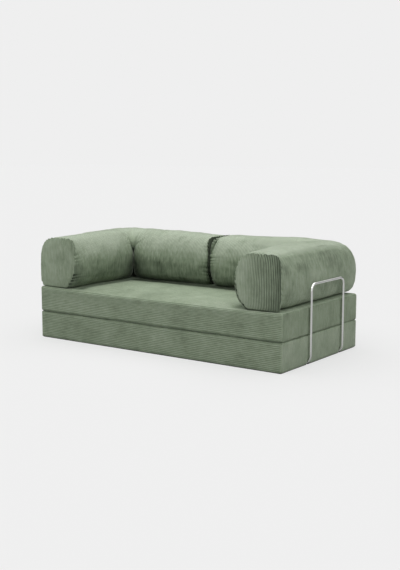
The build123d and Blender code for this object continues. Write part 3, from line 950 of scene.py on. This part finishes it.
def end_panel_form(rim, outward_axis, sign, bulge, seed):
    """The panel inside an end seam: upright columns between the rim's lower and upper edge.
    It swells by a product of two power curves, its wales run up it, lower along its first edge, and
    pinches hang from its top. Gives also how far across each column lies, how high the wales stand,
    and a share that falls to nought at the rim."""
    flat = 1 - outward_axis
    a = rim[:, flat]
    z = rim[:, 2]
    level = rim[:, outward_axis]
    first = int(np.argmin(a))
    order = np.roll(np.arange(len(a)), -first)
    far = int(np.argmax(a[order]))
    one = order[:far + 1]
    two = np.append(order[far:], order[0])[::-1]
    lower, upper = (one, two) if z[one].mean() < z[two].mean() else (two, one)
    width = a.max() - a.min()
    columns = int(round(width / wale_pitch)) * samples_per_wale + 1
    s = np.linspace(-1, 1, columns)
    at = a.min() + width * (0.5 + 0.5 * np.sin(s * np.pi / 2) * 0.35 + s * 0.325)
    low, high, level_low, level_high = (
        np.interp(at, np.maximum.accumulate(a[line]), values[line])
        for values, line in ((z, lower), (z, upper), (level, lower), (level, upper))
    )
    t = (0.5 - 0.5 * np.cos(np.pi * np.linspace(0, 1, end_rows)))[None, :]
    rows = low[:, None] + (high - low)[:, None] * t
    base = level_low[:, None] + (level_high - level_low)[:, None] * t
    over = 2 * (at - a.min())[:, None] / width - 1
    rim_fall = np.clip(1 - np.abs(over) ** 4, 0, 1) * np.clip(1 - np.abs(2 * t - 1) ** 6, 0, 1)
    dome = (1 - over**2) ** 0.65 * (1 - np.abs(2 * t - 1) ** 3) ** 0.65
    spread = at[:, None] + 0 * t
    soft = unevenness(np.stack([spread, 0 * rows, rows], -1), end_wave, end_wave_height, seed)
    rng = np.random.default_rng(seed)
    pinch = np.sin(at * 2 * np.pi / pinch_pitch + 2.2 * np.sin(at * 31 + rng.uniform(0, 6)))[:, None]
    pinch = pinch_depth * np.minimum(pinch, 0) * fade(high[:, None] - rows, pinch_reach)
    run = at - a.min()
    standing = (0.15 + 0.85 * smooth_step(0.05, 0.70, run / width))[:, None] + 0 * rows
    relief = wale(run)[:, None] * 1.1 * standing
    level = base + sign * (bulge * dome + (relief + soft) * rim_fall + pinch * rim_fall)
    form = np.empty(rows.shape + (3,))
    form[..., flat] = spread
    form[..., outward_axis] = level
    form[..., 2] = rows
    return form, run[:, None], rows, standing, rim_fall


for side, word in ((-1, "left"), (1, "right")):
    front_rim, middle_rim = bolster_rims[word]
    for rim, axis, sign, bulge, place in (
        (front_rim, 1, -1, end_bulge, "front"),
        (middle_rim, 0, -side, 0.0, "middle"),
    ):
        made, wale_run, up, standing, inward = end_panel_form(rim, axis, sign, bulge, 80 + side + axis)
        shade = end_tone - rim_shade * (1 - inward) ** 2
        if side > 0:
            shade = shade + right_end_tone - right_end_shade * wale_run / wale_run.max()
        # The ends in the middle of the back are painted dark all over, as painted shade
        if place == "middle":
            made[..., 0] = side * np.maximum(side * made[..., 0], middle_gap + side * middle_shift)
            shade = middle_shade_tone + 0 * inward
        panel = mesh_from_grid(f"{word}_bolster_{place}_end", made, wale_run, up, False,
                               place == "middle" and side < 0, standing, shade)
        panel.data.materials.append(arm_end_corduroy if place == "front" and side > 0 else corduroy)
        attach(panel, f"{word}_bolster")
        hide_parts(f"{word}_bolster_{place}_panel")

# Zips
# Each cover closes along its rear with a coil zip: two rows of moulded teeth on a woven tape that is
# sewn into the cover, with a stop at each end. A metal slider runs on the teeth and carries its pull.
tooth_pitch = 0.0026
stop_length = 0.005
stop_extra = 0.0012


def teeth_form(low, high):
    """The closed coil: rows along the zip, and columns round it, flat where it lies on the tape.
    Two rows of teeth, cosines half a pitch apart, stand up between plain stops."""
    x = np.arange(low.x, high.x, tooth_pitch / 4)[:, None]
    turn = np.linspace(0, 2 * np.pi, 16, endpoint=False)[None, :]
    across = -np.cos(turn)
    bend = np.clip(-np.sin(turn), 0, 1) ** 0.6
    stop = np.minimum(x - low.x, high.x - x) < stop_length
    tooth = 0.5 + 0.5 * np.cos(2 * np.pi * (x / tooth_pitch + 0.5 * (across > 0)))
    tooth = np.where(stop, 1, tooth**0.6)
    half = (high.z - low.z) / 2 - np.where(stop, 0, stop_extra)
    z = (low.z + high.z) / 2 + half * np.sign(across) * np.abs(across) ** 0.8 * (0.88 + 0.12 * tooth)
    groove = 1 - 0.35 * bell(across, 0.12) * ~stop
    y = low.y + (high.y - low.y) * bend * groove * (0.60 + 0.40 * tooth)
    return np.stack([x + 0 * turn, y, z], -1), across, x


coil = speckled_material(
    "green_zip_teeth", dark=(0.200, 0.245, 0.165), light=(0.290, 0.345, 0.245),
    stretch=(300, 300, 300), roughness=(0.30, 0.42), relief=0.00005)
twill = speckled_material(
    "green_zip_tape", dark=(0.150, 0.195, 0.125), light=(0.310, 0.375, 0.260),
    stretch=(1500, 240, 260), roughness=(0.80, 0.92), relief=0.0004)
satin = speckled_material(
    "satin_zip_metal", dark=(0.50, 0.50, 0.48), light=(0.66, 0.66, 0.64),
    stretch=(900, 200, 200), roughness=(0.26, 0.42), relief=0.00003, metallic=1.0)
for owner in ("lower_mattress", "upper_mattress", "left_bolster", "right_bolster"):
    low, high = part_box(f"{owner}_zip_teeth")
    form, across, along = teeth_form(low, high)
    teeth = mesh_from_grid(f"{owner}_zip_coil", form, across, along, True)
    teeth.data.materials.append(coil)
    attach(teeth, owner)
    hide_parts(f"{owner}_zip_teeth")
    dress(f"{owner}_zip_tape", twill)
    dress(f"{owner}_zip_slider", satin)
    dress(f"{owner}_zip_pull", satin)

# Brackets
# Each is one length of round steel tube, bent five ways and bright plated, with a black plug pressed
# into each foot. The tube stands on the floor and its feet run under the lower mattress.
chrome = speckled_material(
    "bright_plated_tube", dark=(0.76, 0.77, 0.75), light=(0.84, 0.85, 0.83),
    stretch=(30, 30, 30), roughness=(0.05, 0.12), relief=0.00002, metallic=1.0)
rubber = speckled_material(
    "black_plug", dark=(0.012, 0.012, 0.012), light=(0.028, 0.028, 0.028),
    stretch=(500, 500, 500), roughness=(0.50, 0.70), relief=0.00008)
for word in ("left", "right"):
    dress(f"{word}_bracket_tube", chrome)
    for place in ("front", "rear"):
        dress(f"{word}_bracket_{place}_cap", rubber)

# Floor, light and camera
# A pale studio floor under soft light from above and a little behind. Most of what the camera sees of
# the floor is the floor's own glow, so that only a faint shadow shows on it.
floor_reach = 60.0
floor_own_share = 0.68
studio_pale = (0.863, 0.863, 0.863, 1)
floor_mesh = bpy.data.meshes.new("floor")
floor_corners = [(x * floor_reach, y * floor_reach, 0) for x, y in ((-1, -1), (1, -1), (1, 1), (-1, 1))]
floor_mesh.from_pydata(floor_corners, [], [(0, 1, 2, 3)])
floor = in_scene("studio_floor", floor_mesh)
pale, tree, shader = new_material("pale_floor")
shader.inputs["Roughness"].default_value = 1.0
shader.inputs["Specular IOR Level"].default_value = 0.0
ray = node_at(tree, "LightPath", (-700, 0))
paint = node_at(
    tree, "Mix", (-400, 0), {"A": (0.56, 0.56, 0.56, 1), "B": (0.887, 0.887, 0.887, 1)},
    {"Factor": ray.outputs["Is Camera Ray"]}, data_type="RGBA")
tree.links.new(paint.outputs["Result"], shader.inputs["Base Color"])
glow = node_at(tree, "Emission", (-100, -300), {"Color": studio_pale})
seen = node_at(
    tree, "Math", (-400, 300), {1: floor_own_share}, {0: ray.outputs["Is Camera Ray"]},
    operation="MULTIPLY")
finish = node_at(
    tree, "MixShader", (300, 0),
    feeds={"Fac": seen.outputs[0], 1: shader.outputs[0], 2: glow.outputs[0]})
tree.links.new(finish.outputs[0], tree.nodes["Material Output"].inputs["Surface"])
floor_mesh.materials.append(pale)

# The sky lights the object weakly, and the camera and mirrors see a pale wall in its place. In a
# mirror the wall darkens away from the direction named here.
bright_side = (0.0, -0.35, 0.94)
world = bpy.data.worlds.new("studio")
bpy.context.scene.world = world
world.use_nodes = True
tree = world.node_tree
sky = tree.nodes["Background"]
sky.inputs["Color"].default_value = (1, 1, 1, 1)
sky.inputs["Strength"].default_value = 0.09
wall = node_at(tree, "Background", (0, -200), {"Color": studio_pale, "Strength": 1.0})
ray = node_at(tree, "LightPath", (-200, 200))
toward = node_at(tree, "TexCoord", (-800, 400))
facing = node_at(
    tree, "VectorMath", (-600, 400), {1: bright_side}, {0: toward.outputs["Generated"]},
    operation="DOT_PRODUCT")
bright = node_at(
    tree, "MapRange", (-400, 400),
    {"From Min": -0.30, "From Max": 0.30, "To Min": 0.04, "To Max": 1.0},
    {"Value": facing.outputs["Value"]}, interpolation_type="SMOOTHSTEP")
mirrored = node_at(
    tree, "Math", (0, 300), feeds={0: ray.outputs["Is Glossy Ray"], 1: bright.outputs[0]},
    operation="MULTIPLY")
either = node_at(
    tree, "Math", (0, 200), feeds={0: ray.outputs["Is Camera Ray"], 1: mirrored.outputs[0]},
    operation="MAXIMUM")
choose = node_at(
    tree, "MixShader", (200, 0),
    feeds={"Fac": either.outputs[0], 1: sky.outputs[0], 2: wall.outputs[0]})
tree.links.new(choose.outputs[0], tree.nodes["World Output"].inputs["Surface"])


def lamp(name, strength, spread, toward):
    """A broad soft lamp, far off, that shines along a direction."""
    data = bpy.data.lights.new(name, "SUN")
    data.energy = strength
    data.angle = np.radians(spread)
    in_scene(name, data).rotation_euler = Vector(toward).to_track_quat("-Z", "Y").to_euler()


lamp("overhead", strength=2.75, spread=105, toward=(0.06, 0.02, -1.0))
lamp("front_fill", strength=0.08, spread=60, toward=(-0.4, 0.8, -0.55))
lamp("side_fill", strength=0.10, spread=60, toward=(-1.0, 0.15, -0.25))

camera_place = (3.791, -4.722 + front_y, 1.322)
camera_azimuth = np.radians(35.67)
camera_elevation = np.radians(8.14)
focal_pixels = 935.9
photo_height = 570
film_height = 36
camera_data = bpy.data.cameras.new("camera")
camera = in_scene("camera", camera_data)
bpy.context.scene.camera = camera
camera_data.sensor_width = film_height
camera_data.lens = focal_pixels * film_height / photo_height
camera.location = camera_place
sight = Vector((
    -np.sin(camera_azimuth) * np.cos(camera_elevation),
    np.cos(camera_azimuth) * np.cos(camera_elevation),
    -np.sin(camera_elevation),
))
camera.rotation_euler = sight.to_track_quat("-Z", "Y").to_euler()

scene = bpy.context.scene
scene.view_settings.view_transform = "Standard"
